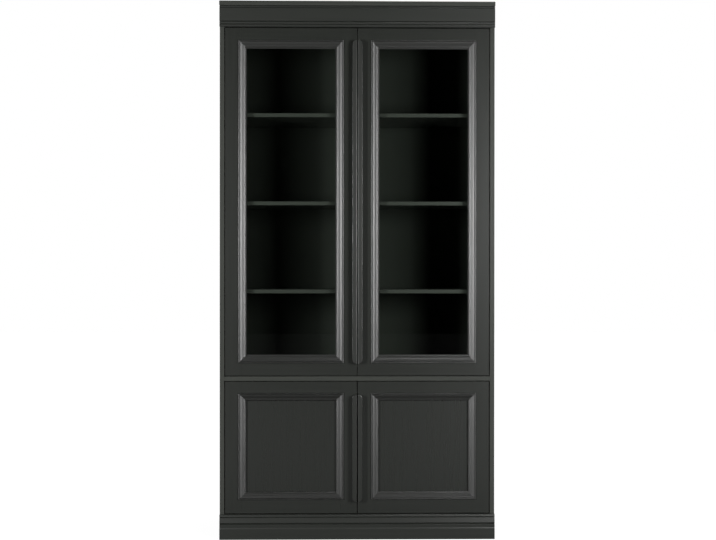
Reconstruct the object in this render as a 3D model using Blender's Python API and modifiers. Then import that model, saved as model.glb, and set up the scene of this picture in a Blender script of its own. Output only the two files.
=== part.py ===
"""A tall two-part display cabinet in black-stained wood.

Two glazed doors stand over two panelled doors, all inset between the side panels and
hung on pivots. Metres, +Z up. The front faces -Y, X is symmetric about the middle, and
the origin is at the centre of the footprint, on the floor.
"""

import math

import bmesh
import bpy
from mathutils import Matrix, Vector

# Clearance between two pieces that touch
SEAT = 0.0003

# Carcass
CARCASS_WIDTH = 1.1005
CARCASS_DEPTH = 0.420
CABINET_HEIGHT = 2.150
BOARD = 0.018
BACK_THICKNESS = 0.006
BACK_INSET = 0.010
GROOVE_DEPTH = 0.008
ARRIS = 0.0005

# Cornice and plinth
FACING_PROUD = 0.0150
CAP_THICKNESS = 0.018
CAP_PROUD = 0.0170
CAP_OVERHANG = 0.0010
CAP_ROUND = 0.0025
CORNICE_HEIGHT = 0.0849
PLINTH_HEIGHT = 0.0992

# Shelves
SHELF = 0.015
SHELF_SETBACK = 0.040
UPPER_SHELF_PITCH = 0.3555
FIRST_UPPER_SHELF = 0.3394
LOWER_SHELF = 0.2677
SHELF_PIN_RADIUS = 0.0025
SHELF_PIN_LENGTH = 0.008
SHELF_PIN_SUNK = 0.009
SHELF_PIN_INSET = 0.050

# Doors
DOOR = 0.022
DOOR_GAP = 0.003
DOOR_ARRIS = 0.0008
LOWER_DOOR_HEIGHT = 0.5274
STILE = 0.0660
UPPER_RAILS = (0.0634, 0.0606)
LOWER_RAILS = (0.0674, 0.0584)

# Mouldings, which stand on the frame and reach in over the glass or the panel
UPPER_MOULDING_WIDTH = 0.0335
LOWER_MOULDING_WIDTH = 0.0312
MOULDING_OVERLAP = 0.0135
MOULDING_SEAT_DEPTH = 0.0120
MOULDING_LIP = 0.0088
# The section's corners: inward, forward, and how far along its sides each is rounded
MOULDING_FACE = (
    (0.0000, 0.0053, 0.0009),
    (0.0023, 0.0061, 0.0014),
    (0.0064, 0.0033, 0),
    (0.0087, 0.0055, 0.0009),
    (0.0108, 0.0049, 0.0012),
    (0.0144, 0.0026, 0),
    (0.0152, 0.0026, 0.0002),
    (0.0208, -0.0013, 0.0005),
    (0.0224, -0.0012, 0.0004),
    (0.0248, -0.0024, 0),
    (0.0263, -0.0012, 0.0006),
    (0.0280, -0.0013, 0.0010),
    (0.0306, -0.0038, 0),
)

# Glass, panels and glazing beads
GLASS = 0.004
GLASS_EDGE_PLAY = 0.0008
GLAZING_BEAD_WIDTH = 0.010

# Handles
HANDLE_WIDTH = 0.0175
HANDLE_PROUD = 0.0240
HANDLE_ROUND = 0.0024
HANDLE_END_ROUND = 0.0140
HANDLE_MARGIN = 0.0505

# Pivots at the top and bottom of each door
PIVOT_FROM_EDGE = 0.020
PIVOT_BEHIND_FACE = 0.008
PIVOT_RADIUS = 0.003
PIVOT_ENGAGEMENT = 0.010
PIVOT_PLAY = 0.0003
PIVOT_WASHER_RADIUS = 0.0055
PIVOT_FLANGE_RADIUS = 0.0075
PIVOT_FLANGE = 0.002
RECESS_CLEARANCE = 0.005
PIVOT_SIDES = 16

# Magnetic catches and their strike plates
CATCH_SIZE = (0.050, 0.013, 0.014)
STRIKE_SIZE = (0.016, 0.001, 0.020)
STRIKE_FROM_MIDDLE = 0.012
STRIKE_BELOW_EDGE = 0.004

# Sizes that follow from the ones above
OVERALL_DEPTH = CARCASS_DEPTH + HANDLE_PROUD
FRONT = HANDLE_PROUD - OVERALL_DEPTH / 2
BACK = FRONT + CARCASS_DEPTH
INNER_HALF = CARCASS_WIDTH / 2 - BOARD
BACK_PANEL_FRONT = BACK - BACK_INSET - BACK_THICKNESS
PANEL_END = INNER_HALF - SEAT
PANEL_BACK = BACK_PANEL_FRONT - SEAT
BOTTOM_PANEL_TOP = PLINTH_HEIGHT
LOWER_DOOR_FOOT = BOTTOM_PANEL_TOP + DOOR_GAP
LOWER_DOOR = (LOWER_DOOR_FOOT, LOWER_DOOR_FOOT + LOWER_DOOR_HEIGHT)
MIDDLE_PANEL_UNDERSIDE = LOWER_DOOR[1] + DOOR_GAP
MIDDLE_PANEL_TOP = MIDDLE_PANEL_UNDERSIDE + BOARD
CAP_UNDERSIDE = CABINET_HEIGHT - CAP_THICKNESS
CORNICE_UNDERSIDE = CAP_UNDERSIDE - CORNICE_HEIGHT
TOP_PANEL_UNDERSIDE = CORNICE_UNDERSIDE
UPPER_DOOR = (MIDDLE_PANEL_TOP + DOOR_GAP, TOP_PANEL_UNDERSIDE - DOOR_GAP)
LOWER_SHELF_MIDDLE = BOTTOM_PANEL_TOP + LOWER_SHELF
UPPER_SHELF_MIDDLES = tuple(
    MIDDLE_PANEL_TOP + FIRST_UPPER_SHELF + UPPER_SHELF_PITCH * i for i in range(3)
)
DOOR_BACK = FRONT + DOOR
HINGE_EDGE = INNER_HALF - DOOR_GAP
MEETING_EDGE = DOOR_GAP / 2
PIVOT_X = HINGE_EDGE - PIVOT_FROM_EDGE
PIVOT_Y = FRONT + PIVOT_BEHIND_FACE
SIDES = (("left", -1), ("right", 1))

for old in list(bpy.data.objects):
    bpy.data.objects.remove(old)


def new_collection(name):
    made = bpy.data.collections.new(name)
    bpy.context.scene.collection.children.link(made)
    return made


CABINET = new_collection("display_cabinet")
CUTTERS = new_collection("cutters")


def linear(value):
    """An sRGB channel from 0 to 255, as linear light."""
    share = value / 255
    return share / 12.92 if share <= 0.04045 else ((share + 0.055) / 1.055) ** 2.4


def material(name, srgb, roughness, metallic=0.0, transmission=0.0):
    made = bpy.data.materials.new(name)
    made.use_nodes = True
    shader = made.node_tree.nodes["Principled BSDF"]
    shader.inputs["Base Color"].default_value = (*map(linear, srgb), 1)
    shader.inputs["Roughness"].default_value = roughness
    shader.inputs["Metallic"].default_value = metallic
    shader.inputs["Transmission Weight"].default_value = transmission
    return made


CARCASS_WOOD = material("black_stained_carcass", (46, 47, 45), 0.42)
DOOR_WOOD = material("black_stained_door_frame", (44, 45, 43), 0.42)
MOULDING_WOOD = material("black_stained_moulding", (48, 49, 47), 0.36)
PANEL_WOOD = material("black_stained_panel", (43, 44, 42), 0.42)
HANDLE_WOOD = material("black_stained_handle", (50, 50, 48), 0.34)
BACK_BOARD = material("black_back_board", (34, 35, 33), 0.55)
CLEAR_GLASS = material("clear_float_glass", (235, 240, 236), 0.02, transmission=1.0)
STEEL = material("zinc_plated_steel", (178, 180, 182), 0.30, metallic=1.0)
BLACK_PLASTIC = material("black_moulded_plastic", (28, 28, 28), 0.45)


def place(obj, finish, at, parent=None, collection=CABINET):
    """Puts an object at a world place, with its finish, on the empty that carries it."""
    collection.objects.link(obj)
    obj.data.materials.append(finish)
    obj.parent = parent
    obj.location = Vector(at) - (parent.location if parent else Vector())
    return obj


def sized_box(low, high):
    """A bmesh box about its own centre, and the world place of that centre."""
    low, high = Vector(low), Vector(high)
    shape = bmesh.new()
    bmesh.ops.create_cube(shape, size=1, matrix=Matrix.Diagonal((*(high - low), 1)))
    return shape, (low + high) / 2


def face_name(face):
    axis = max(range(3), key=lambda i: abs(face.normal[i]))
    return "xyz"[axis] + ("+" if face.normal[axis] > 0 else "-")


def round_edges(shape, names, radius, segments=2):
    """Rounds the box edges that are named by their two faces, as x-y- for front left."""
    shape.normal_update()
    picked = [
        edge
        for edge in shape.edges
        if len(edge.link_faces) == 2
        and "".join(sorted(map(face_name, edge.link_faces))) in names
    ]
    bmesh.ops.bevel(
        shape,
        geom=picked,
        offset=radius,
        segments=segments,
        profile=0.5,
        affect="EDGES",
    )


def finished(name, shape):
    mesh = bpy.data.meshes.new(name)
    shape.to_mesh(mesh)
    shape.free()
    mesh.shade_smooth()
    mesh.set_sharp_from_angle(angle=math.radians(32))
    return bpy.data.objects.new(name, mesh)


def board(name, low, high, finish, rounded=(), radius=ARRIS, parent=None):
    """A board between two corners in the world, with its named edges rounded."""
    shape, centre = sized_box(low, high)
    if rounded:
        round_edges(shape, rounded, radius)
    return place(finished(name, shape), finish, centre, parent)


def between(side, near, far):
    """The lower and upper X of a span that is given outwards from the middle."""
    return sorted((side * near, side * far))


def cut(obj, cutter):
    """Takes the cutter, which stands in the world, out of the object."""
    cutter.hide_render = True
    cutter.display_type = "WIRE"
    modifier = obj.modifiers.new(cutter.name, "BOOLEAN")
    modifier.object = cutter
    modifier.operation = "DIFFERENCE"
    modifier.solver = "EXACT"


def join(obj, other):
    """Adds the other shape, which stands in the world, to the object."""
    other.hide_render = True
    other.display_type = "WIRE"
    modifier = obj.modifiers.new(other.name, "BOOLEAN")
    modifier.object = other
    modifier.operation = "UNION"
    modifier.solver = "EXACT"


def rods(name, ends, radius, finish, sides=PIVOT_SIDES):
    """Round rods from one end to the other, in one helper object at the world's origin."""
    shape = bmesh.new()
    for first, last in ends:
        first, last = Vector(first), Vector(last)
        turn = (last - first).to_track_quat("Z", "Y").to_matrix().to_4x4()
        bmesh.ops.create_cone(
            shape,
            cap_ends=True,
            segments=sides,
            radius1=radius,
            radius2=radius,
            depth=(last - first).length,
            matrix=Matrix.Translation((first + last) / 2) @ turn,
        )
    return place(finished(name, shape), finish, (0, 0, 0), collection=CUTTERS)


def extruded(name, outline, half_length, finish, at):
    """A profile of (forward, up) points, run along X to both sides of its place."""
    curve = bpy.data.curves.new(name, "CURVE")
    curve.dimensions = "2D"
    curve.fill_mode = "BOTH"
    curve.extrude = half_length
    spline = curve.splines.new("POLY")
    spline.points.add(len(outline) - 1)
    for point, (forward, up) in zip(spline.points, outline):
        point.co = (-forward, up, 0, 1)
    spline.use_cyclic_u = True
    obj = place(bpy.data.objects.new(name, curve), finish, at)
    obj.rotation_euler = (math.pi / 2, 0, math.pi / 2)
    return obj


def bulge(start, end, height, steps):
    """A shallow convex run between two (forward, up) points, standing out by a height."""
    points = []
    for i in range(steps + 1):
        share = i / steps
        forward = start[0] + (end[0] - start[0]) * share
        points.append(
            (
                forward + height * math.sin(math.pi * share),
                start[1] + (end[1] - start[1]) * share,
            )
        )
    return points


def ring(name, outline, width, height, finish, centre, parent):
    """A mitred frame: a profile of (inward, forward) points, spun round four corners.

    The spin makes a square frame with its mitres on the diagonals. Its halves are then
    moved apart to the frame's width and height, which leaves the profile as it is.
    """
    reach = min(width, height) / 2
    shape = bmesh.new()
    corner = [
        shape.verts.new((reach - inward, -forward, reach - inward))
        for inward, forward in outline
    ]
    edges = [
        shape.edges.new((corner[i], corner[(i + 1) % len(corner)]))
        for i in range(len(corner))
    ]
    bmesh.ops.spin(
        shape,
        geom=corner + edges,
        cent=(0, 0, 0),
        axis=(0, 1, 0),
        angle=2 * math.pi,
        steps=4,
        use_merge=True,
    )
    bmesh.ops.remove_doubles(shape, verts=shape.verts, dist=1e-6)
    for vert in shape.verts:
        vert.co.x += math.copysign(width / 2 - reach, vert.co.x)
        vert.co.z += math.copysign(height / 2 - reach, vert.co.z)
    bmesh.ops.recalc_face_normals(shape, faces=shape.faces)
    return place(finished(name, shape), finish, centre, parent)


def shelf_pins(side):
    """The ends of the pins under each shelf, in one side panel."""
    rows = []
    for middle in (LOWER_SHELF_MIDDLE, *UPPER_SHELF_MIDDLES):
        z = middle - SHELF / 2 - SEAT - SHELF_PIN_RADIUS
        shelf_front = FRONT + SHELF_SETBACK
        for y in (shelf_front + SHELF_PIN_INSET, PANEL_BACK - SHELF_PIN_INSET):
            inner = (side * (INNER_HALF - SHELF_PIN_LENGTH), y, z)
            sunk = (side * (INNER_HALF + SHELF_PIN_SUNK), y, z)
            rows.append((inner, sunk))
    return rows


def side_panels():
    """Full-height sides, grooved for the back panels and bored for the shelf pins."""
    for label, side in SIDES:
        x0, x1 = between(side, INNER_HALF, CARCASS_WIDTH / 2)
        panel = board(
            f"side_panel_{label}",
            (x0, FRONT, 0),
            (x1, BACK, CAP_UNDERSIDE - SEAT),
            CARCASS_WOOD,
            rounded=("x-y-", "x+y-", "x-y+", "x+y+"),
        )
        g0, g1 = between(side, INNER_HALF - BOARD, INNER_HALF + GROOVE_DEPTH)
        shape, centre = sized_box(
            (g0, BACK_PANEL_FRONT - SEAT, -BOARD),
            (g1, BACK_PANEL_FRONT + BACK_THICKNESS + SEAT, CABINET_HEIGHT),
        )
        groove = finished(f"groove_{label}", shape)
        cut(panel, place(groove, CARCASS_WOOD, centre, collection=CUTTERS))
        pins = rods(f"shelf_pins_{label}", shelf_pins(side), SHELF_PIN_RADIUS, STEEL, 10)
        join(panel, pins)


def pivot_places(panel):
    """Where the pivots stand in a panel: height of the face, and which way they point."""
    faces = {
        "bottom": [(BOTTOM_PANEL_TOP, 1)],
        "middle": [(MIDDLE_PANEL_TOP, 1), (MIDDLE_PANEL_UNDERSIDE, -1)],
        "top": [(TOP_PANEL_UNDERSIDE, -1)],
    }
    return faces[panel]


def cross_panels():
    """The fixed panels between the sides, each let in for its doors' pivot flanges."""
    heights = {
        "bottom": BOTTOM_PANEL_TOP - BOARD,
        "middle": MIDDLE_PANEL_UNDERSIDE,
        "top": TOP_PANEL_UNDERSIDE,
    }
    for label, underside in heights.items():
        panel = board(
            f"{label}_panel",
            (-PANEL_END, FRONT, underside),
            (PANEL_END, PANEL_BACK, underside + BOARD),
            CARCASS_WOOD,
            rounded=("y-z+", "y-z-") if label == "middle" else (),
        )
        ends = []
        for z, up in pivot_places(label):
            for _, side in SIDES:
                x = side * PIVOT_X
                inside = z - up * (PIVOT_FLANGE + SEAT)
                outside = z + up * RECESS_CLEARANCE
                ends.append(((x, PIVOT_Y, inside), (x, PIVOT_Y, outside)))
        recess = PIVOT_FLANGE_RADIUS + SEAT
        cut(panel, rods(f"{label}_panel_recesses", ends, recess, CARCASS_WOOD))


def back_panels():
    """Thin boards in the side panels' grooves, which meet behind the middle panel."""
    seam = MIDDLE_PANEL_TOP - BOARD / 2
    half = INNER_HALF + GROOVE_DEPTH - SEAT
    levels = {
        "lower": (BOTTOM_PANEL_TOP - BOARD, seam - SEAT / 2),
        "upper": (seam + SEAT / 2, CAP_UNDERSIDE - SEAT),
    }
    for label, (low, high) in levels.items():
        board(
            f"back_panel_{label}",
            (-half, BACK_PANEL_FRONT, low),
            (half, BACK_PANEL_FRONT + BACK_THICKNESS, high),
            BACK_BOARD,
        )


def cornice_outline():
    """The cornice board's section: a low band, a bead, the flat frieze and a top bead."""
    back = SEAT
    face = FACING_PROUD
    top = CORNICE_HEIGHT - SEAT
    outline = [(back, 0), (face - 0.0020, 0), (face - 0.0010, 0.0010)]
    outline += [(face - 0.0010, 0.0072), (face - 0.0050, 0.0086), (face - 0.0050, 0.0128)]
    outline += bulge((face - 0.0040, 0.0136), (face - 0.0040, 0.0190), 0.0032, 6)
    outline += [(face - 0.0056, 0.0200), (face - 0.0056, 0.0226), (face - 0.0006, 0.0240)]
    outline += [(face, 0.0248), (face, top - 0.0126), (face - 0.0006, top - 0.0120)]
    outline += [(face - 0.0048, top - 0.0112), (face - 0.0048, top - 0.0090)]
    outline += bulge((face - 0.0036, top - 0.0084), (face - 0.0036, top - 0.0042), 0.0026, 6)
    outline += [(face - 0.0056, top - 0.0034), (face - 0.0056, top), (back, top)]
    return outline


def cornice():
    """The moulded board on the front edges, and the cap board that covers everything."""
    extruded(
        "cornice_front",
        cornice_outline(),
        CARCASS_WIDTH / 2,
        CARCASS_WOOD,
        (0, FRONT, CORNICE_UNDERSIDE),
    )
    half = CARCASS_WIDTH / 2 + CAP_OVERHANG
    shape, centre = sized_box(
        (-half, FRONT - CAP_PROUD, CAP_UNDERSIDE), (half, BACK, CABINET_HEIGHT)
    )
    edges = ("y-z+", "y-z-", "x-z+", "x-z-", "x+z+", "x+z-", "x-y-", "x+y-")
    round_edges(shape, edges, CAP_ROUND, segments=3)
    place(finished("cornice_cap", shape), CARCASS_WOOD, centre)


def plinth_outline():
    """The plinth board's section: the board, a dark recess, a round band and a bead."""
    back = SEAT
    face = FACING_PROUD + 0.0008
    outline = [(back, 0), (face - 0.0010, 0), (face, 0.0010), (face, 0.0428)]
    outline += [(face - 0.0010, 0.0442), (face - 0.0010, 0.0590), (face - 0.0044, 0.0604)]
    outline += [(face - 0.0050, 0.0650)]
    outline += bulge((face - 0.0032, 0.0664), (face - 0.0032, 0.0862), 0.0026, 8)
    outline += [(face - 0.0056, 0.0872), (face - 0.0056, 0.0896)]
    outline += bulge((face - 0.0046, 0.0904), (face - 0.0048, 0.0976), 0.0030, 6)
    outline += [(face - 0.0062, 0.0984), (face - 0.0074, PLINTH_HEIGHT)]
    outline += [(back, PLINTH_HEIGHT)]
    return outline


def plinth():
    """The moulded board across the foot, and the rail that stiffens the back of it."""
    extruded(
        "plinth_front",
        plinth_outline(),
        CARCASS_WIDTH / 2,
        CARCASS_WOOD,
        (0, FRONT, 0),
    )
    board(
        "plinth_rear_rail",
        (-PANEL_END, PANEL_BACK - BOARD, 0),
        (PANEL_END, PANEL_BACK, BOTTOM_PANEL_TOP - BOARD - SEAT),
        CARCASS_WOOD,
    )


def shelf(name, middle):
    board(
        name,
        (-PANEL_END, FRONT + SHELF_SETBACK, middle - SHELF / 2),
        (PANEL_END, PANEL_BACK, middle + SHELF / 2),
        CARCASS_WOOD,
        rounded=("y-z+", "y-z-"),
    )


def shelves():
    """Loose shelves, which lie on the pins."""
    for label, middle in zip(("bottom", "middle", "top"), UPPER_SHELF_MIDDLES):
        shelf(f"upper_shelf_{label}", middle)
    shelf("lower_shelf", LOWER_SHELF_MIDDLE)


def softened(corners, steps):
    """An outline from corners (inward, forward, rounding), each rounded by a curve."""
    points = []
    for i, (inward, forward, rounding) in enumerate(corners):
        here = Vector((inward, forward))
        if not rounding:
            points.append(tuple(here))
            continue
        before = Vector(corners[i - 1][:2]) - here
        after = Vector(corners[(i + 1) % len(corners)][:2]) - here
        start = here + before.normalized() * rounding
        end = here + after.normalized() * rounding
        for step in range(steps + 1):
            share = step / steps
            lean = 2 * share * (1 - share)
            point = start * (1 - share) ** 2 + here * lean + end * share**2
            points.append(tuple(point))
    return points


def moulding_outline(width):
    """The door moulding's section: three beads and a slope that fall towards the glass."""
    seat = MOULDING_OVERLAP + SEAT
    inner = MOULDING_FACE[-1][0]
    corners = [(0, SEAT, 0), *MOULDING_FACE]
    corners += [(inner, -MOULDING_LIP, 0), (width, -MOULDING_LIP, 0)]
    corners += [(width, -MOULDING_SEAT_DEPTH, 0), (seat, -MOULDING_SEAT_DEPTH, 0)]
    return softened([*corners, (seat, SEAT, 0)], 3)


def door_opening(side, span, rails, play):
    """The X and Z spans inside a door's frame, less a play at each edge."""
    x0, x1 = between(side, MEETING_EDGE + STILE + play, HINGE_EDGE - STILE - play)
    return x0, x1, span[0] + rails[0] + play, span[1] - rails[1] - play


def door_frame(name, side, span, rails, pivot):
    """Two full-height stiles with two rails between them, and the pivots' holes."""
    low, high = span
    x0, x1 = between(side, HINGE_EDGE - STILE, HINGE_EDGE)
    outer = "x-" if side < 0 else "x+"
    inner = "x+" if side < 0 else "x-"
    stile = board(
        f"{name}_hinge_stile",
        (x0, FRONT, low),
        (x1, DOOR_BACK, high),
        DOOR_WOOD,
        rounded=(outer + "y-", outer + "y+", "y-z+", "y-z-"),
        radius=DOOR_ARRIS,
        parent=pivot,
    )
    reach = PIVOT_ENGAGEMENT + SEAT
    x = side * PIVOT_X
    holes = [
        ((x, PIVOT_Y, low - DOOR_GAP), (x, PIVOT_Y, low + reach)),
        ((x, PIVOT_Y, high - reach), (x, PIVOT_Y, high + DOOR_GAP)),
    ]
    hole = PIVOT_RADIUS + PIVOT_PLAY
    cut(stile, rods(f"{name}_pivot_holes", holes, hole, DOOR_WOOD))
    x0, x1 = between(side, MEETING_EDGE, MEETING_EDGE + STILE)
    board(
        f"{name}_meeting_stile",
        (x0, FRONT, low),
        (x1, DOOR_BACK, high),
        DOOR_WOOD,
        rounded=(inner + "y-", inner + "y+", "y-z+", "y-z-"),
        radius=DOOR_ARRIS,
        parent=pivot,
    )
    x0, x1 = between(side, MEETING_EDGE + STILE + SEAT, HINGE_EDGE - STILE - SEAT)
    levels = {
        "bottom": (low, low + rails[0], "y-z-"),
        "top": (high - rails[1], high, "y-z+"),
    }
    for label, (z0, z1, edge) in levels.items():
        board(
            f"{name}_{label}_rail",
            (x0, FRONT, z0),
            (x1, DOOR_BACK, z1),
            DOOR_WOOD,
            rounded=(edge,),
            radius=DOOR_ARRIS,
            parent=pivot,
        )


def door_moulding(name, side, span, rails, moulding_width, pivot):
    """The mitred moulding that stands on the frame's face."""
    x0, x1, z0, z1 = door_opening(side, span, rails, -MOULDING_OVERLAP)
    size = (x1 - x0, z1 - z0)
    centre = ((x0 + x1) / 2, FRONT, (z0 + z1) / 2)
    outline = moulding_outline(moulding_width)
    ring(f"{name}_moulding", outline, *size, MOULDING_WOOD, centre, pivot)


def glazing(name, side, span, rails, pivot):
    """A pane behind the moulding, and the mitred bead that holds it from inside."""
    x0, x1, z0, z1 = door_opening(side, span, rails, GLASS_EDGE_PLAY)
    pane_front = FRONT + MOULDING_SEAT_DEPTH + SEAT
    pane_back = pane_front + GLASS
    pane = (x0, pane_front, z0), (x1, pane_back, z1)
    board(f"{name}_glass", *pane, CLEAR_GLASS, parent=pivot)
    x0, x1, z0, z1 = door_opening(side, span, rails, SEAT)
    depth = DOOR_BACK - pane_back - SEAT
    outline = [
        (0, 0),
        (GLAZING_BEAD_WIDTH, 0),
        (GLAZING_BEAD_WIDTH, -depth * 0.4),
        (GLAZING_BEAD_WIDTH * 0.6, -depth),
        (0, -depth),
    ]
    centre = ((x0 + x1) / 2, pane_back + SEAT, (z0 + z1) / 2)
    size = (x1 - x0, z1 - z0)
    ring(f"{name}_glazing_bead", outline, *size, MOULDING_WOOD, centre, pivot)


def panelling(name, side, span, rails, pivot):
    """A solid panel, let into the frame from behind against the moulding."""
    x0, x1, z0, z1 = door_opening(side, span, rails, SEAT)
    board(
        f"{name}_panel",
        (x0, FRONT + MOULDING_SEAT_DEPTH + SEAT, z0),
        (x1, DOOR_BACK, z1),
        PANEL_WOOD,
        parent=pivot,
    )


def handle(name, side, span, pivot):
    """Half of a square bar with arched ends, on the meeting stile beside the moulding."""
    x0, x1 = between(side, MEETING_EDGE, MEETING_EDGE + HANDLE_WIDTH)
    shape, centre = sized_box(
        (x0, FRONT - HANDLE_PROUD, span[0] + HANDLE_MARGIN),
        (x1, FRONT - SEAT, span[1] - HANDLE_MARGIN),
    )
    outer = "x-" if side < 0 else "x+"
    inner = "x+" if side < 0 else "x-"
    round_edges(shape, (outer + "z+", outer + "z-"), HANDLE_END_ROUND, segments=5)
    edges = (outer + "y-", inner + "y-", "y-z+", "y-z-")
    round_edges(shape, edges, HANDLE_ROUND, segments=3)
    place(finished(f"{name}_handle", shape), HANDLE_WOOD, centre, pivot)


def strike_plate(name, side, span, pivot):
    """The small steel plate that the magnetic catch holds."""
    width, thickness, height = STRIKE_SIZE
    x0, x1 = between(side, STRIKE_FROM_MIDDLE - width / 2, STRIKE_FROM_MIDDLE + width / 2)
    top = span[1] - STRIKE_BELOW_EDGE
    y = DOOR_BACK + SEAT
    low, high = (x0, y, top - height), (x1, y + thickness, top)
    board(f"{name}_strike_plate", low, high, STEEL, parent=pivot)


def catches():
    """One double magnetic catch for each pair of doors, under the panel above them."""
    width, depth, height = CATCH_SIZE
    y = DOOR_BACK + SEAT + STRIKE_SIZE[1] + SEAT
    tops = {"upper": TOP_PANEL_UNDERSIDE, "lower": MIDDLE_PANEL_UNDERSIDE}
    for label, underside in tops.items():
        top = underside - SEAT
        board(
            f"{label}_catch",
            (-width / 2, y, top - height),
            (width / 2, y + depth, top),
            BLACK_PLASTIC,
        )


def pivot_pin(name, face, opening, at):
    """A turned pin on a flange that is let into the panel, with a washer for the gap."""
    gap = opening - SEAT
    profile = [
        (0, opening + PIVOT_ENGAGEMENT - SEAT),
        (PIVOT_RADIUS, opening + PIVOT_ENGAGEMENT - SEAT),
        (PIVOT_RADIUS, gap),
        (PIVOT_WASHER_RADIUS, gap),
        (PIVOT_WASHER_RADIUS, 0),
        (PIVOT_FLANGE_RADIUS, 0),
        (PIVOT_FLANGE_RADIUS, -PIVOT_FLANGE),
        (0, -PIVOT_FLANGE),
    ]
    shape = bmesh.new()
    points = [shape.verts.new((radius, 0, z)) for radius, z in profile]
    for upper, lower in zip(points, points[1:]):
        shape.edges.new((upper, lower))
    pin = place(finished(name, shape), STEEL, at)
    pin.rotation_euler = (0 if face > 0 else math.pi, 0, 0)
    turned = pin.modifiers.new("turned", "SCREW")
    turned.steps = turned.render_steps = PIVOT_SIDES
    turned.use_merge_vertices = True
    turned.merge_threshold = 0.00001


def pivots(name, side, span, panels):
    """A pin below the door and one above it, on the door's axis."""
    x = side * PIVOT_X
    low, high = panels
    at = (x, PIVOT_Y, low)
    pivot_pin(f"{name}_bottom_pivot", 1, span[0] - low, at)
    at = (x, PIVOT_Y, high)
    pivot_pin(f"{name}_top_pivot", -1, high - span[1], at)


def doors():
    """Two glazed doors over two panelled ones, each on an empty on its own axis."""
    upper_panels = MIDDLE_PANEL_TOP, TOP_PANEL_UNDERSIDE
    lower_panels = BOTTOM_PANEL_TOP, MIDDLE_PANEL_UNDERSIDE
    levels = {
        "upper": (UPPER_DOOR, UPPER_RAILS, UPPER_MOULDING_WIDTH, upper_panels),
        "lower": (LOWER_DOOR, LOWER_RAILS, LOWER_MOULDING_WIDTH, lower_panels),
    }
    for level, (span, rails, moulding_width, panels) in levels.items():
        for label, side in SIDES:
            name = f"{level}_{label}"
            pivot = bpy.data.objects.new(f"{name}_door_axis", None)
            CABINET.objects.link(pivot)
            pivot.location = (side * PIVOT_X, PIVOT_Y, span[0])
            door_frame(name, side, span, rails, pivot)
            door_moulding(name, side, span, rails, moulding_width, pivot)
            if level == "upper":
                glazing(name, side, span, rails, pivot)
            else:
                panelling(name, side, span, rails, pivot)
            handle(name, side, span, pivot)
            strike_plate(name, side, span, pivot)
            pivots(name, side, span, panels)


side_panels()
cross_panels()
back_panels()
plinth()
cornice()
shelves()
doors()
catches()
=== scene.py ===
"""A tall display cabinet in black-stained wood, dressed over its CAD model.

Two glazed doors stand over two panelled doors. Metres, +Z up, and the front faces -Y.
"""

import math

import bmesh
import bpy
from mathutils import Matrix, Vector


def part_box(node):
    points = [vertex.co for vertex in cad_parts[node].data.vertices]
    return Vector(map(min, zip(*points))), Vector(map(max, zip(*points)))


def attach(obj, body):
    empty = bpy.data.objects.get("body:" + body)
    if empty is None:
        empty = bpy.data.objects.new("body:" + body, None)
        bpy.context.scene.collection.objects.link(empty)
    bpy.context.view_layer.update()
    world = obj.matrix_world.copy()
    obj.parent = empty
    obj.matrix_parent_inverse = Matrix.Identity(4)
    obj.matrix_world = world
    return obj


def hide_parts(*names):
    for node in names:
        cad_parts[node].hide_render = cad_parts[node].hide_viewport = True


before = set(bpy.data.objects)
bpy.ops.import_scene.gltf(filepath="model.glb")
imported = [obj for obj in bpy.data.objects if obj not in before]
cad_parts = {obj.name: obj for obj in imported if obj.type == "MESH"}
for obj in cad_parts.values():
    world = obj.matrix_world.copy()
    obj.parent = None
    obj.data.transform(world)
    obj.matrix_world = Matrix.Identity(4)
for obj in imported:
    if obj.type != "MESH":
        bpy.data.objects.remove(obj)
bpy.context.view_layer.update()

# Carcass boards: side panels, fixed cross panels and the rail behind the plinth, 18 mm
# thick, veneered, stained black and thinly lacquered. They are glued and doweled. Their
# sharp edges are eased by hand, and the stain is thinner there.
GRAIN_ACROSS = 0.0016
GRAIN_ALONG = 0.110
FIGURE_ACROSS = 0.011
FIGURE_ALONG = 0.420
OPEN_PORES = 0.000012
GLOSS_SPREAD = 0.003
LACQUER = 1.82
LACQUER_SHINE = 0.5


def linear(code):
    """An sRGB hex colour, as linear RGBA."""
    coded = [int(code[i : i + 2], 16) / 255 for i in (1, 3, 5)]
    return (
        *(c / 12.92 if c <= 0.04045 else ((c + 0.055) / 1.055) ** 2.4 for c in coded),
        1,
    )


def add(tree, kind, inputs, **settings):
    """Adds a node with its settings. Inputs are values, or sockets to link from."""
    node = tree.nodes.new(kind)
    for name, value in settings.items():
        setattr(node, name, value)
    for name, value in inputs.items():
        if isinstance(value, bpy.types.NodeSocket):
            tree.links.new(value, node.inputs[name])
        else:
            node.inputs[name].default_value = value
    return node


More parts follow.
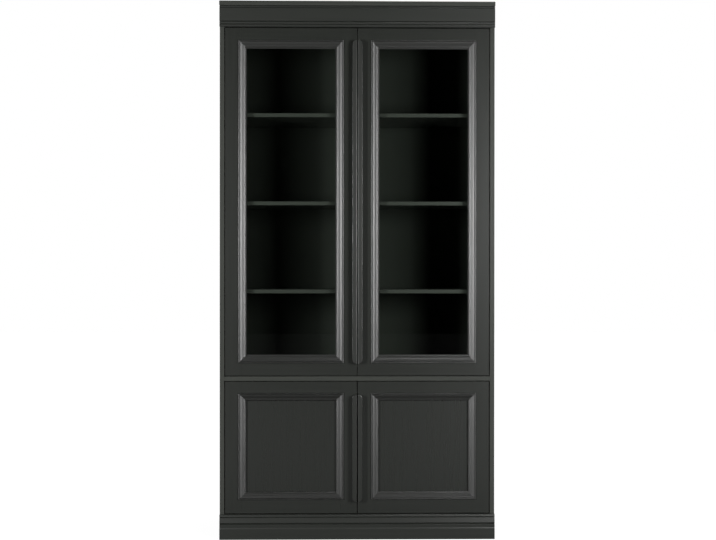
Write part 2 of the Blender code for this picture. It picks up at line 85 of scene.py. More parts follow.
def stained_wood(
    name, dark, light, roughness, run, relief=OPEN_PORES, shine=LACQUER_SHINE
):
    """Stained wood under satin lacquer, with its grain along X or Z.

    Open pores are 0.2 mm wide in the real veneer. They are drawn 1.6 mm apart, as
    coarse as they need to be to show, over a broad figure of 11 mm stripes.
    """
    made = bpy.data.materials.new(name)
    made.use_nodes = True
    tree = made.node_tree
    place = add(tree, "ShaderNodeTexCoord", {}).outputs["Object"]
    patterns = []
    for across, along, detail in (
        (GRAIN_ACROSS, GRAIN_ALONG, 3),
        (FIGURE_ACROSS, FIGURE_ALONG, 2),
    ):
        scale = [1 / across] * 3
        scale["XYZ".index(run)] = 1 / along
        stretched = add(tree, "ShaderNodeMapping", {"Vector": place, "Scale": scale})
        patterns.append(
            add(
                tree,
                "ShaderNodeTexNoise",
                {
                    "Vector": stretched.outputs["Vector"],
                    "Scale": 1,
                    "Detail": detail,
                    "Roughness": 0.6,
                    "Distortion": 0.25,
                },
            ).outputs["Fac"]
        )
    pores, figure = patterns
    both = add(
        tree, "ShaderNodeMath", {0: pores, 1: figure}, operation="ADD"
    ).outputs[0]
    # Each pattern keeps near 0.5, so most of the sum lies between 0.7 and 1.3
    tone = add(
        tree,
        "ShaderNodeMapRange",
        {"Value": both, "From Min": 0.7, "From Max": 1.3},
    ).outputs["Result"]
    colour = add(
        tree,
        "ShaderNodeMix",
        {0: tone, 6: linear(dark), 7: linear(light)},
        data_type="RGBA",
    )
    gloss = add(
        tree,
        "ShaderNodeMapRange",
        {
            "Value": figure,
            "From Min": 0.3,
            "From Max": 0.7,
            "To Min": roughness - GLOSS_SPREAD,
            "To Max": roughness + GLOSS_SPREAD,
        },
    )
    bump = add(
        tree,
        "ShaderNodeBump",
        {"Height": pores, "Strength": 0.6, "Distance": relief},
    )
    shader = tree.nodes["Principled BSDF"]
    tree.links.new(colour.outputs[2], shader.inputs["Base Color"])
    tree.links.new(gloss.outputs["Result"], shader.inputs["Roughness"])
    tree.links.new(bump.outputs["Normal"], shader.inputs["Normal"])
    shader.inputs["IOR"].default_value = LACQUER
    shader.inputs["Specular IOR Level"].default_value = shine
    return made


def finish_piece(name, shape, materials, body, slot, *stands_for):
    """Makes a piece from a shape, on its body and for its CAD nodes."""
    mesh = bpy.data.meshes.new(name)
    shape.to_mesh(mesh)
    shape.free()
    for material in materials:
        mesh.materials.append(material)
    piece = bpy.data.objects.new(name, mesh)
    bpy.context.scene.collection.objects.link(piece)
    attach(piece, body)
    if stands_for:
        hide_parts(*stands_for)
    return piece


# Faces that turn by more than 35 degrees meet in a crisp edge. So do a rounding and a
# flat of over six times its area, or the flat would be shaded as if it were curved.
CRISP_TURN = 35
FLAT_TURN = 1
BROAD_FLAT = 6


def smooth(shape):
    """Shades a shape round, but keeps hard edges and the rims of broad flats crisp."""
    for face in shape.faces:
        face.smooth = True
    for edge in shape.edges:
        if len(edge.link_faces) != 2:
            continue
        small, large = sorted(face.calc_area() for face in edge.link_faces)
        turn = math.degrees(edge.calc_face_angle(0))
        if turn > CRISP_TURN or (turn > FLAT_TURN and large > BROAD_FLAT * small):
            edge.smooth = False


# A face that is narrower than 1 mm is an arris
ARRIS_FACE = 0.0010
MERGE = 1e-6


def merged_board(node):
    """A board's CAD shape as flat faces, its arris faces in the second material."""
    shape = bmesh.new()
    shape.from_mesh(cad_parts[node].data)
    bmesh.ops.remove_doubles(shape, verts=shape.verts, dist=MERGE)
    bmesh.ops.dissolve_limit(
        shape,
        angle_limit=math.radians(FLAT_TURN),
        verts=shape.verts,
        edges=shape.edges,
    )
    for face in shape.faces:
        longest = max(edge.calc_length() for edge in face.edges)
        if face.calc_area() < ARRIS_FACE * longest:
            face.material_index = 1
    return shape


# Edges that turn by over 60 degrees are eased, but not those as short as a pin's
ARRIS = 0.0005
EASED_TURN = 60
EASED_LENGTH = 0.014


def eased_board(node, materials, body, slot):
    """A board with its hard long edges eased."""
    shape = merged_board(node)
    hard = [
        edge
        for edge in shape.edges
        if edge.calc_face_angle(0) > math.radians(EASED_TURN)
        and edge.calc_length() > EASED_LENGTH
    ]
    bmesh.ops.bevel(
        shape,
        geom=hard,
        offset=ARRIS,
        segments=2,
        affect="EDGES",
        profile=0.5,
        material=1,
    )
    smooth(shape)
    return finish_piece(f"{node}_board", shape, materials, body, slot, node)


# Veneer stained black: a near-black grey, slightly green, with a soft satin sheen
CARCASS_UPRIGHT = stained_wood(
    "stained_carcass_upright", "#2f312e", "#343632", roughness=0.235, run="Z"
)
CARCASS_LEVEL = stained_wood(
    "stained_carcass_level", "#2f312e", "#343632", roughness=0.235, run="X"
)
# Rubbed arris: sanded through to the stain along an edge, so it is duller and browner
RUBBED_SHINE = 0.12
RUBBED_CARCASS = stained_wood(
    "rubbed_carcass_edge",
    "#2b2b28",
    "#32312d",
    roughness=0.62,
    run="Z",
    shine=RUBBED_SHINE,
)
MOTTLE = 0.002
MOTTLE_GLOSS = 0.08


def metal(name, code, roughness):
    """Plain metal whose gloss varies over a fine crystalline mottle of 2 mm."""
    made = bpy.data.materials.new(name)
    made.use_nodes = True
    tree = made.node_tree
    place = add(tree, "ShaderNodeTexCoord", {}).outputs["Object"]
    mottle = add(
        tree,
        "ShaderNodeTexNoise",
        {"Vector": place, "Scale": 1 / MOTTLE, "Detail": 3},
    )
    gloss = add(
        tree,
        "ShaderNodeMapRange",
        {
            "Value": mottle.outputs["Fac"],
            "To Min": roughness - MOTTLE_GLOSS,
            "To Max": roughness + MOTTLE_GLOSS,
        },
    )
    shader = tree.nodes["Principled BSDF"]
    shader.inputs["Base Color"].default_value = linear(code)
    shader.inputs["Metallic"].default_value = 1.0
    tree.links.new(gloss.outputs["Result"], shader.inputs["Roughness"])
    return made


# Zinc-plated steel, for pins, strike plates and catches: pale grey with a soft shine
STEEL = metal("zinc_plated_steel", "#b4b6b6", roughness=0.33)
# Faces further in than a side panel's inner face are shelf pins, of the third material
inner_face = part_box("bottom_panel")[1].x
for side in ("left", "right"):
    panel = eased_board(
        f"side_panel_{side}",
        (CARCASS_UPRIGHT, RUBBED_CARCASS, STEEL),
        "carcass",
        "carcass_wood",
    )
    for face in panel.data.polygons:
        if abs(face.center.x) < inner_face:
            face.material_index = 2
for board in ("bottom_panel", "middle_panel", "top_panel", "plinth_rear_rail"):
    eased_board(board, (CARCASS_LEVEL, RUBBED_CARCASS), "carcass", "carcass_wood")

# Back panels: two sheets of 6 mm board in the side panels' grooves, painted flat black
# on both faces, and screwed to the cross panels from behind. The paint's stipple is
# 1.1 mm across, and the clouds in its gloss are 110 mm.
STIPPLE_PER_METRE = 900
CLOUDS_PER_METRE = 9
STIPPLE_DEPTH = 0.00008
CLOUD_GLOSS = 0.05
FLAT_SHINE = 0.2


def stippled_black(name, dark, light, roughness):
    """A fine even stipple with a flat sheen, as rolled paint or moulded plastic has."""
    made = bpy.data.materials.new(name)
    made.use_nodes = True
    tree = made.node_tree
    place = add(tree, "ShaderNodeTexCoord", {}).outputs["Object"]
    stipple, clouds = (
        add(
            tree,
            "ShaderNodeTexNoise",
            {"Vector": place, "Scale": scale, "Detail": detail, "Roughness": 0.5},
        ).outputs["Fac"]
        for scale, detail in ((STIPPLE_PER_METRE, 2), (CLOUDS_PER_METRE, 3))
    )
    colour = add(
        tree,
        "ShaderNodeMix",
        {0: clouds, 6: linear(dark), 7: linear(light)},
        data_type="RGBA",
    )
    bump = add(
        tree,
        "ShaderNodeBump",
        {"Height": stipple, "Strength": 0.5, "Distance": STIPPLE_DEPTH},
    )
    gloss = add(
        tree,
        "ShaderNodeMapRange",
        {
            "Value": clouds,
            "To Min": roughness - CLOUD_GLOSS,
            "To Max": roughness + CLOUD_GLOSS,
        },
    )
    shader = tree.nodes["Principled BSDF"]
    tree.links.new(colour.outputs[2], shader.inputs["Base Color"])
    tree.links.new(gloss.outputs["Result"], shader.inputs["Roughness"])
    tree.links.new(bump.outputs["Normal"], shader.inputs["Normal"])
    shader.inputs["Specular IOR Level"].default_value = FLAT_SHINE
    return made


# Rolled paint on fibreboard: a flat black with hardly any sheen
BACK_BOARD = stippled_black(
    "painted_back_board", "#0f110e", "#161914", roughness=0.80
)
# Blackened steel, for these screws and for the pivots in the gaps round the doors: a
# dark grey with a soft shine
BLACKENED = metal("blackened_steel", "#1c1c1d", roughness=0.36)
SCREW_HEAD = 0.0035
SCREW_RISE = 0.0012
# Crown and rim as parts of the head's radius, and the recess as part of its rise
SCREW_CROWN = 0.8
SCREW_RIM = 0.4
SCREW_RECESS = 0.6


def screw_heads(name, places, axis):
    """Low round screw heads, each with a recess, that stand out along an axis."""
    shape = bmesh.new()
    out = Vector(axis)
    turn = Vector((0, 0, 1)).rotation_difference(out).to_matrix().to_4x4()
    for place in places:
        made = bmesh.ops.create_cone(
            shape,
            cap_ends=True,
            segments=18,
            radius1=SCREW_HEAD,
            radius2=SCREW_HEAD * SCREW_CROWN,
            depth=SCREW_RISE,
            matrix=Matrix.Translation(Vector(place) + out * SCREW_RISE / 2) @ turn,
        )
        crown = max(
            {face for vert in made["verts"] for face in vert.link_faces},
            key=lambda face: face.calc_center_median().dot(out),
        )
        bmesh.ops.inset_individual(
            shape, faces=[crown], thickness=SCREW_HEAD * SCREW_RIM
        )
        bmesh.ops.translate(
            shape, verts=crown.verts, vec=out * -SCREW_RISE * SCREW_RECESS
        )
    smooth(shape)
    finish_piece(name, shape, (BLACKENED,), "carcass", "steel")


SCREW_MARGIN = 0.060
SCREW_PITCH = 0.1600
SCREWS_IN_ROW = 7
for level in ("lower", "upper"):
    eased_board(
        f"back_panel_{level}", (BACK_BOARD, BACK_BOARD), "carcass", "back_board"
    )
    low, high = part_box(f"back_panel_{level}")
    fixed_to = ("bottom_panel", "middle_panel") if level == "lower" else ("top_panel",)
    rows = [(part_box(board)[0].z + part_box(board)[1].z) / 2 for board in fixed_to]
    screw_heads(
        f"back_screws_{level}",
        [
            (low.x + SCREW_MARGIN + SCREW_PITCH * i, high.y, row)
            for row in rows
            for i in range(SCREWS_IN_ROW)
        ],
        (0, 1, 0),
    )

# Shelves: 15 mm boards, veneered and stained as the carcass is, with a stained strip on
# the front edge. They rest on pins in the side panels.
SHELVES = ("upper_shelf_bottom", "upper_shelf_middle", "upper_shelf_top", "lower_shelf")
for shelf in SHELVES:
    eased_board(shelf, (CARCASS_LEVEL, RUBBED_CARCASS), "carcass", "carcass_wood")

# Plinth: a solid board, moulded along its length and stained black. Above a flat board
# come a small step, a narrow recess, a broad round band and a bead. Glued to the front
# edges of the side panels.
BEAD_STEPS = 7


def section(corners):
    """A flat moulding section. Corners are across, forward, and the radius of each."""
    shape = bmesh.new()
    verts = [shape.verts.new((across, -forward, 0)) for across, forward, _ in corners]
    shape.faces.new(verts)
    for radius in sorted({corner[2] for corner in corners if corner[2]}):
        bmesh.ops.bevel(
            shape,
            geom=[v for v, corner in zip(verts, corners) if corner[2] == radius],
            offset=radius,
            segments=BEAD_STEPS,
            affect="VERTICES",
            profile=0.5,
            clamp_overlap=False,
            material=-1,
        )
    return shape


# Moulded wood stained black: a little darker and duller than the veneered boards
FACING_LEVEL = stained_wood(
    "stained_facing_level", "#1f211e", "#232522", roughness=0.29, run="X"
)


def run_across(name, corners, node):
    """A moulded board across the front, whose section is given up from its foot."""
    low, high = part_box(node)
    shape = section(corners)
    for vert in shape.verts:
        vert.co = (low.x, high.y + vert.co.y, low.z + vert.co.x)
    made = bmesh.ops.extrude_face_region(shape, geom=list(shape.faces))
    bmesh.ops.translate(
        shape,
        verts=[v for v in made["geom"] if isinstance(v, bmesh.types.BMVert)],
        vec=(high.x - low.x, 0, 0),
    )
    bmesh.ops.recalc_face_normals(shape, faces=shape.faces)
    smooth(shape)
    finish_piece(name, shape, (FACING_LEVEL,), "carcass", "carcass_wood", node)


run_across(
    "plinth_moulding",
    (
        (0, 0, 0),
        (0, 0.0155, 0.0008),
        (0.0436, 0.0155, 0.0008),
        (0.0474, 0.0138, 0.0006),
        (0.0594, 0.0145, 0.0006),
        (0.0628, 0.0086, 0),
        (0.0662, 0.0150, 0.0014),
        (0.0864, 0.0112, 0.0014),
        (0.0884, 0.0080, 0),
        (0.0906, 0.0128, 0.0014),
        (0.0976, 0.0112, 0.0014),
        (0.0992, 0.0080, 0),
        (0.0992, 0, 0),
    ),
    "plinth_front",
)

# Cornice: a moulded board across the front, under a cap board with eased edges. It has
# a low band, a bead between two grooves, a flat frieze, and a small bead tucked under
# the cap, and is stained and glued as the plinth is.
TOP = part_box("cornice_front")[1].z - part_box("cornice_front")[0].z
run_across(
    "cornice_moulding",
    (
        (0, 0, 0),
        (0, 0.0137, 0.0010),
        (0.0080, 0.0137, 0.0006),
        (0.0102, 0.0086, 0),
        (0.0124, 0.0134, 0.0014),
        (0.0190, 0.0134, 0.0014),
        (0.0212, 0.0082, 0),
        (0.0236, 0.0147, 0.0008),
        (TOP - 0.0104, 0.0147, 0.0008),
        (TOP - 0.0086, 0.0094, 0),
        (TOP - 0.0068, 0.0134, 0.0012),
        (TOP - 0.0028, 0.0134, 0.0012),
        (TOP - 0.0006, 0.0084, 0),
        (TOP, 0.0084, 0),
        (TOP, 0, 0),
    ),
    "cornice_front",
)
eased_board("cornice_cap", (CARCASS_LEVEL, RUBBED_CARCASS), "carcass", "carcass_wood")

# Door frames: stiles run the full height with the rails tenoned between them. Solid
# wood 22 mm thick, stained black and lacquered satin, with the outer edges eased. It is
# a shade darker than the carcass, with the same soft sheen.
DOOR_UPRIGHT = stained_wood(
    "stained_door_stile", "#1b1d1a", "#1f211e", roughness=0.26, run="Z"
)
DOOR_LEVEL = stained_wood(
    "stained_door_rail", "#1b1d1a", "#1f211e", roughness=0.26, run="X"
)
RUBBED_DOOR = stained_wood(
    "rubbed_door_edge",
    "#1f1f1c",
    "#262522",
    roughness=0.62,
    run="Z",
    shine=RUBBED_SHINE,
)
DOORS = [
    f"{level}_{side}" for level in ("upper", "lower") for side in ("left", "right")
]
for door in DOORS:
    for member, wood in (
        ("hinge_stile", DOOR_UPRIGHT),
        ("meeting_stile", DOOR_UPRIGHT),
        ("top_rail", DOOR_LEVEL),
        ("bottom_rail", DOOR_LEVEL),
    ):
        shape = merged_board(f"{door}_{member}")
        smooth(shape)
        finish_piece(
            f"{door}_{member}_solid",
            shape,
            (wood, RUBBED_DOOR),
            f"{door}_door",
            "door_wood",
            f"{door}_{member}",
        )

# Lower door panels: flat veneered panels with upright grain, let into the frame from
# behind and held against the moulding.
FILLED_PORES = 0.000002
# Veneer with its pores filled: an even satin black in which the grain hardly shows
PANEL_VENEER = stained_wood(
    "stained_panel_veneer",
    "#1a1c19",
    "#1b1d1a",
    roughness=0.275,
    run="Z",
    relief=FILLED_PORES,
)
for door in ("lower_left", "lower_right"):
    eased_board(
        f"{door}_panel", (PANEL_VENEER, RUBBED_DOOR), f"{door}_door", "panel_wood"
    )

# Glass: a pane of clear 4 mm float glass in each upper door, held by beads from inside.
# It is smooth and nearly colourless, and lets the lamps light the shelves behind it.
GLASS_TINT = linear("#f6faf7")
CLEAR_GLASS = bpy.data.materials.new("clear_float_glass")
CLEAR_GLASS.use_nodes = True
tree = CLEAR_GLASS.node_tree
pane = tree.nodes["Principled BSDF"]
pane.inputs["Base Color"].default_value = GLASS_TINT
pane.inputs["Roughness"].default_value = 0.0
pane.inputs["IOR"].default_value = 1.52
pane.inputs["Transmission Weight"].default_value = 1.0
clear = add(tree, "ShaderNodeBsdfTransparent", {"Color": GLASS_TINT})
path = add(tree, "ShaderNodeLightPath", {}).outputs
let_through = add(
    tree,
    "ShaderNodeMath",
    {0: path["Is Shadow Ray"], 1: path["Is Reflection Ray"]},
    operation="MAXIMUM",
)
mixed = add(
    tree,
    "ShaderNodeMixShader",
    {
        0: let_through.outputs[0],
        1: pane.outputs["BSDF"],
        2: clear.outputs["BSDF"],
    },
)
tree.links.new(mixed.outputs["Shader"], tree.nodes["Material Output"].inputs["Surface"])
for door in ("upper_left", "upper_right"):
    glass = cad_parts[f"{door}_glass"]
    for holder in glass.material_slots:
        holder.material = CLEAR_GLASS

# Door mouldings: mitred strips that stand on the frame's face and reach in over the
# glass or the panel. Solid wood, moulded with two beads, a slope and a bead at its
# foot, stained and lacquered. The glazing beads behind the glass are of the same wood.
MOULDING_LAP = 0.0138
UPPER_MOULDING = 0.0335
LOWER_MOULDING = 0.0312
# Close-grained wood stained black: the sheen is flatter on the uprights
MOULDING_UPRIGHT = stained_wood(
    "stained_moulding_upright",
    "#161715",
    "#171816",
    roughness=0.44,
    run="Z",
    relief=FILLED_PORES,
)
MOULDING_LEVEL = stained_wood(
    "stained_moulding_level",
    "#161715",
    "#171816",
    roughness=0.35,
    run="X",
    relief=FILLED_PORES,
)


def moulding_corners(width):
    """The door moulding's section, from its outer edge inward."""
    return (
        (0, 0.0003, 0),
        (0.0015, 0.0048, 0.0006),
        (0.0030, 0.0061, 0.0010),
        (0.0064, 0.0033, 0),
        (0.0087, 0.0055, 0.0008),
        (0.0108, 0.0049, 0.0013),
        (0.0144, 0.0026, 0),
        (0.0152, 0.0026, 0.0002),
        (0.0208, -0.0013, 0.0005),
        (0.0224, -0.0012, 0.0004),
        (0.0248, -0.0024, 0),
        (0.0263, -0.0012, 0.0006),
        (0.0280, -0.0013, 0.0010),
        (0.0306, -0.0038, 0),
        (0.0306, -0.0088, 0),
        (width, -0.0088, 0),
        (width, -0.0120, 0),
        (MOULDING_LAP, -0.0120, 0),
        (MOULDING_LAP, 0.0003, 0),
    )


def mitred_frame(name, corners, node, front, door):
    """A mitred frame on a node's outline: its section is spun round four corners."""
    low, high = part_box(node)
    width, height = high.x - low.x, high.z - low.z
    reach = min(width, height) / 2
    shape = section(corners)
    bmesh.ops.delete(shape, geom=list(shape.faces), context="FACES_ONLY")
    for vert in shape.verts:
        vert.co = (reach - vert.co.x, vert.co.y, reach - vert.co.x)
    bmesh.ops.spin(
        shape,
        geom=list(shape.verts) + list(shape.edges),
        cent=(0, 0, 0),
        axis=(0, 1, 0),
        angle=2 * math.pi,
        steps=4,
        use_merge=True,
    )
    bmesh.ops.remove_doubles(shape, verts=shape.verts, dist=MERGE)
    bmesh.ops.recalc_face_normals(shape, faces=shape.faces)
    for face in shape.faces:
        face.material_index = int(abs(face.calc_center_median().z) > reach / 2)
    for vert in shape.verts:
        vert.co.x += math.copysign(width / 2 - reach, vert.co.x)
        vert.co.z += math.copysign(height / 2 - reach, vert.co.z)
    smooth(shape)
    for edge in shape.edges:
        first, last = edge.link_faces
        if first.material_index != last.material_index:
            edge.smooth = False
    middle = ((low.x + high.x) / 2, front, (low.z + high.z) / 2)
    bmesh.ops.translate(shape, verts=shape.verts, vec=middle)
    woods = (MOULDING_UPRIGHT, MOULDING_LEVEL)
    finish_piece(name, shape, woods, f"{door}_door", "moulding_wood", node)


for door in DOORS:
    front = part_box(f"{door}_hinge_stile")[0].y
    width = UPPER_MOULDING if door.startswith("upper") else LOWER_MOULDING
    mitred_frame(
        f"{door}_door_moulding",
        moulding_corners(width),
        f"{door}_moulding",
        front,
        door,
    )
# A glazing bead is square over two fifths of its depth and slopes from there
BEAD_WIDTH = 0.0100
BEAD_FOOT = 0.0060
BEAD_SQUARE = 0.4
for door in ("upper_left", "upper_right"):
    low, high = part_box(f"{door}_glazing_bead")
    depth = high.y - low.y
    mitred_frame(
        f"{door}_glazing_strip",
        (
            (0, 0, 0),
            (BEAD_WIDTH, 0, 0.0003),
            (BEAD_WIDTH, -depth * BEAD_SQUARE, 0.0008),
            (BEAD_FOOT, -depth, 0.0012),
            (0, -depth, 0),
        ),
        f"{door}_glazing_bead",
        low.y,
        door,
    )

# Handles: each door carries half of a tall bar with arched ends, as long as the
# moulding beside it. Solid wood, shaped, stained and lacquered, and screwed on from
# behind. The inner face is set back a little from the door's edge.
HANDLE_END = 0.0140
HANDLE_ARRIS = 0.0008
HANDLE_ROUND = 0.0018
HANDLE_SETBACK = 0.0008
NEAR = 1e-5
# Close-grained wood stained black: a softly shining black, even and smooth to the hand
HANDLE_WOOD = stained_wood(
    "stained_handle",
    "#151714",
    "#191b17",
    roughness=0.34,
    run="Z",
    relief=FILLED_PORES,
)


def box_between(low, high, shape):
    """Adds a box between two corners to a shape, and gives its corners."""
    made = bmesh.ops.create_cube(shape, size=1)["verts"]
    bmesh.ops.scale(shape, verts=made, vec=high - low)
    bmesh.ops.translate(shape, verts=made, vec=(low + high) / 2)
    return made


def rounded(shape, edges, radius, segments):
    """Rounds some of a shape's edges."""
    bmesh.ops.bevel(
        shape,
        geom=edges,
        offset=radius,
        segments=segments,
        affect="EDGES",
        profile=0.5,
        material=-1,
    )


def picked(shape, picks):
    """The edges of a shape that picks(start, end) accepts."""
    return [edge for edge in shape.edges if picks(*(v.co for v in edge.verts))]


for door in DOORS:
    low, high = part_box(f"{door}_handle")
    if "left" in door:
        high.x -= HANDLE_SETBACK
        outer, inner = low.x, high.x
    else:
        low.x += HANDLE_SETBACK
        outer, inner = high.x, low.x
    shape = bmesh.new()
    box_between(low, high, shape)
    ends = picked(
        shape, lambda a, b: abs(a.y - b.y) > NEAR and abs(a.x - outer) < NEAR
    )
    rounded(shape, ends, HANDLE_END, segments=10)
    inner_front = picked(
        shape,
        lambda a, b: max(a.y, b.y) < low.y + NEAR
        and max(abs(a.x - inner), abs(b.x - inner)) < NEAR,
    )
    rounded(shape, inner_front, HANDLE_ROUND, segments=5)
    outer_front = picked(
        shape,
        lambda a, b: max(a.y, b.y) < low.y + NEAR
        and max(abs(a.x - inner), abs(b.x - inner)) > HANDLE_ROUND + NEAR,
    )
    rounded(shape, outer_front, HANDLE_ARRIS, segments=3)
    smooth(shape)
    finish_piece(
        f"{door}_bar",
        shape,
        (HANDLE_WOOD,),
        f"{door}_door",
        "handle_wood",
        f"{door}_handle",
    )

# Fittings that show with the doors open: turned pivot pins with their flanges, strike
# plates screwed to the doors, and magnetic catches under the panels above. Each catch
# has a plastic body, two pairs of steel pole pieces in its face and two screws below.
for door in DOORS:
    for part in ("top_pivot", "bottom_pivot"):
        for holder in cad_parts[f"{door}_{part}"].material_slots:
            holder.material = BLACKENED


def softened_box(low, high, radius, shape):
    """Adds a box between two corners, all its edges rounded, to a shape."""
    made = box_between(low, high, shape)
    edges = {edge for vert in made for edge in vert.link_edges}
    rounded(shape, list(edges), radius, segments=3)


STRIKE_ARRIS = 0.0003
for door in DOORS:
    low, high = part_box(f"{door}_strike_plate")
    shape = bmesh.new()
    softened_box(low, high, STRIKE_ARRIS, shape)
    smooth(shape)
    finish_piece(
        f"{door}_strike",
        shape,
        (STEEL,),
        f"{door}_door",
        "steel",
        f"{door}_strike_plate",
    )
# Moulded plastic: a black with a dull, faintly stippled surface
PLASTIC = stippled_black(
    "black_moulded_plastic", "#161616", "#1f1f1f", roughness=0.48
)
# The poles stand proud of the body in front, and the screw heads below
CATCH_ARRIS = 0.0008
POLE_PROUD = 0.0008
SCREW_PROUD = 0.0006
POLE_OFFSET = 0.0120
POLE_RISE = 0.0030
POLE_REACH = 0.0080
POLE_THICK = 0.0008
POLE_DEPTH = 0.0030
POLE_ARRIS = 0.0002
CATCH_SCREW = 0.0200
SCREW_SUNK = 0.4
for level in ("upper", "lower"):
    low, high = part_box(f"{level}_catch")
    body = bmesh.new()
    softened_box(low + Vector((0, POLE_PROUD, SCREW_PROUD)), high, CATCH_ARRIS, body)
    smooth(body)
    finish_piece(
        f"{level}_catch_body",
        body,
        (PLASTIC,),
        "carcass",
        "black_plastic",
        f"{level}_catch",
    )
    poles = bmesh.new()
    middle = (low.z + high.z) / 2
    for x in (-POLE_OFFSET, POLE_OFFSET):
        for rise in (-POLE_RISE, POLE_RISE):
            start = Vector((x - POLE_REACH, low.y, middle + rise - POLE_THICK))
            end = Vector(
                (x + POLE_REACH, low.y + POLE_DEPTH, middle + rise + POLE_THICK)
            )
            softened_box(start, end, POLE_ARRIS, poles)
    smooth(poles)
    finish_piece(f"{level}_catch_poles", poles, (STEEL,), "carcass", "steel")
    under = low.z + SCREW_PROUD + SCREW_RISE * SCREW_SUNK
    screw_heads(
        f"{level}_catch_screws",
        [(x, (low.y + high.y) / 2, under) for x in (-CATCH_SCREW, CATCH_SCREW)],
        (0, 0, -1),
    )

# Studio: a pale floor, a white ground, two upright softboxes, one at each side, and a
# weak one overhead
FLOOR_HALF = 14.0
# A painted shadow round the foot: the floor's glow is dimmed to the tone below within
# 0.5 m of the middle, and rises to full white at 1.6 m
PAINTED_SHADOW_INNER = 0.5
PAINTED_SHADOW_OUTER = 1.6
PAINTED_SHADOW_TONE = 0.93
floor_shape = bmesh.new()
bmesh.ops.create_grid(floor_shape, x_segments=1, y_segments=1, size=FLOOR_HALF)
floor_mesh = bpy.data.meshes.new("floor")
floor_shape.to_mesh(floor_mesh)
floor_shape.free()
floor = bpy.data.objects.new("floor", floor_mesh)
bpy.context.scene.collection.objects.link(floor)
# Matt paint that sends little light back, so that the cabinet isn't lit from below
PALE_FLOOR = bpy.data.materials.new("pale_floor")
PALE_FLOOR.use_nodes = True
tree = PALE_FLOOR.node_tree
plain = tree.nodes["Principled BSDF"]
plain.inputs["Base Color"].default_value = linear("#595959")
plain.inputs["Roughness"].default_value = 1.0
plain.inputs["Specular IOR Level"].default_value = 0.0


def seen_straight(tree):
    """1 for rays from the camera, straight or through glass, and 0 for all others."""
    path = add(tree, "ShaderNodeLightPath", {}).outputs
    bounces = add(
        tree,
        "ShaderNodeMath",
        {0: path["Diffuse Depth"], 1: path["Glossy Depth"]},
        operation="ADD",
    )
    unbounced = add(
        tree, "ShaderNodeMath", {0: bounces.outputs[0], 1: 0.5}, operation="LESS_THAN"
    )
    through = add(
        tree,
        "ShaderNodeMath",
        {0: path["Is Transmission Ray"], 1: unbounced.outputs[0]},
        operation="MULTIPLY",
    )
    return add(
        tree,
        "ShaderNodeMath",
        {0: path["Is Camera Ray"], 1: through.outputs[0]},
        operation="MAXIMUM",
    ).outputs[0]


# White to the camera, but dimmed a shade close to the foot as a painted shadow. The
# lamps' own soft shadow also falls on the matt paint under the glow.
place = add(tree, "ShaderNodeTexCoord", {}).outputs["Object"]
away = add(tree, "ShaderNodeVectorMath", {0: place}, operation="LENGTH")
glow_with_painted_shadow = add(
    tree,
    "ShaderNodeMapRange",
    {
        "Value": away.outputs["Value"],
        "From Min": PAINTED_SHADOW_INNER,
        "From Max": PAINTED_SHADOW_OUTER,
        "To Min": PAINTED_SHADOW_TONE,
        "To Max": 1.0,
    },
)
seen = add(
    tree,
    "ShaderNodeMath",
    {0: seen_straight(tree), 1: glow_with_painted_shadow.outputs["Result"]},
    operation="MULTIPLY",
)
glow = add(
    tree,
    "ShaderNodeEmission",
    {"Color": linear("#ffffff"), "Strength": seen.outputs[0]},
)
whole = add(
    tree, "ShaderNodeAddShader", {0: plain.outputs["BSDF"], 1: glow.outputs["Emission"]}
)
tree.links.new(whole.outputs["Shader"], tree.nodes["Material Output"].inputs["Surface"])
floor_mesh.materials.append(PALE_FLOOR)

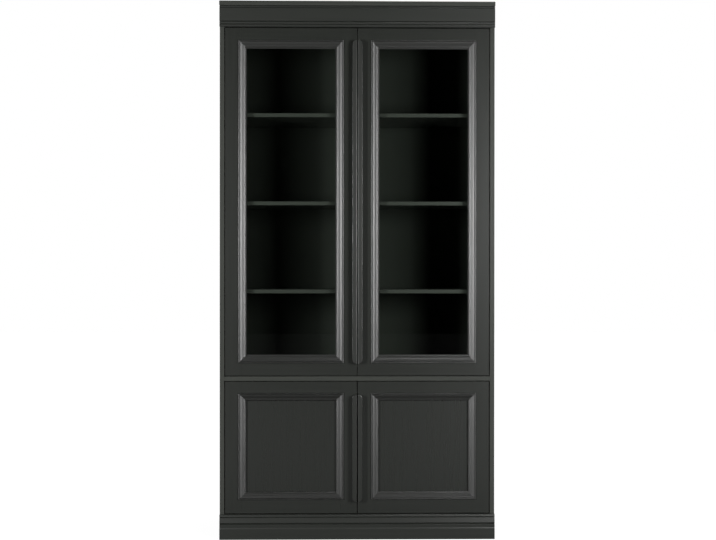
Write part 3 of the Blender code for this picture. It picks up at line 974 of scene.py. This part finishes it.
# The ground beyond is white as seen straight or through glass. Behind the cabinet it
# also lights the back and shows in reflections, and in front it is a dark room. A ray
# heads from 0, level with the cabinet, to 1, straight back.
DARK_ROOM = 0.05
LIT_BACK = 0.45
world = bpy.data.worlds.new("studio")
bpy.context.scene.world = world
world.use_nodes = True
tree = world.node_tree
heading = add(
    tree,
    "ShaderNodeSeparateXYZ",
    {0: add(tree, "ShaderNodeTexCoord", {}).outputs["Generated"]},
)
behind = add(
    tree,
    "ShaderNodeMapRange",
    {"Value": heading.outputs["Y"], "From Min": DARK_ROOM, "From Max": LIT_BACK},
)
strength = add(
    tree,
    "ShaderNodeMath",
    {0: seen_straight(tree), 1: behind.outputs["Result"]},
    operation="MAXIMUM",
)
tree.links.new(strength.outputs[0], tree.nodes["Background"].inputs["Strength"])
tree.nodes["Background"].inputs["Color"].default_value = linear("#ffffff")

AIM_DEPTH = -0.2


def softbox(name, place, aim_height, width, height, watts):
    """A softbox turned to face the cabinet's middle at one height."""
    light = bpy.data.lights.new(name, "AREA")
    light.shape = "RECTANGLE"
    light.size, light.size_y = width, height
    light.energy = watts
    lamp = bpy.data.objects.new(name, light)
    bpy.context.scene.collection.objects.link(lamp)
    aim = Vector((0, AIM_DEPTH, aim_height)) - Vector(place)
    turn = aim.to_track_quat("-Z", "Y").to_matrix().to_4x4()
    lamp.matrix_world = Matrix.Translation(place) @ turn


softbox(
    "left_softbox",
    (-2.640, -2.931, 1.403),
    aim_height=1.403,
    width=0.416,
    height=0.958,
    watts=140,
)
softbox(
    "right_softbox",
    (2.443, -3.109, 1.474),
    aim_height=1.474,
    width=1.200,
    height=1.250,
    watts=166,
)
softbox(
    "overhead_softbox",
    (0.800, -1.300, 4.400),
    aim_height=1.000,
    width=1.200,
    height=0.400,
    watts=14,
)

# The camera stands nearly square on, 4.8 m away and at half the cabinet's height
CAMERA_PLACE = (-0.0781, -4.798, 1.0943)
CAMERA_HEADING = -1.0048
CAMERA_TILT = 90 - 0.2171
CAMERA_ROLL = 0.0352
camera = bpy.data.objects.new("camera", bpy.data.cameras.new("camera"))
bpy.context.scene.collection.objects.link(camera)
camera.data.lens = 57.751
camera.data.sensor_width = 36
camera.matrix_world = (
    Matrix.Translation(CAMERA_PLACE)
    @ Matrix.Rotation(math.radians(CAMERA_HEADING), 4, "Z")
    @ Matrix.Rotation(math.radians(CAMERA_TILT), 4, "X")
    @ Matrix.Rotation(math.radians(CAMERA_ROLL), 4, "Z")
)
bpy.context.scene.camera = camera
bpy.context.scene.view_settings.view_transform = "Standard"
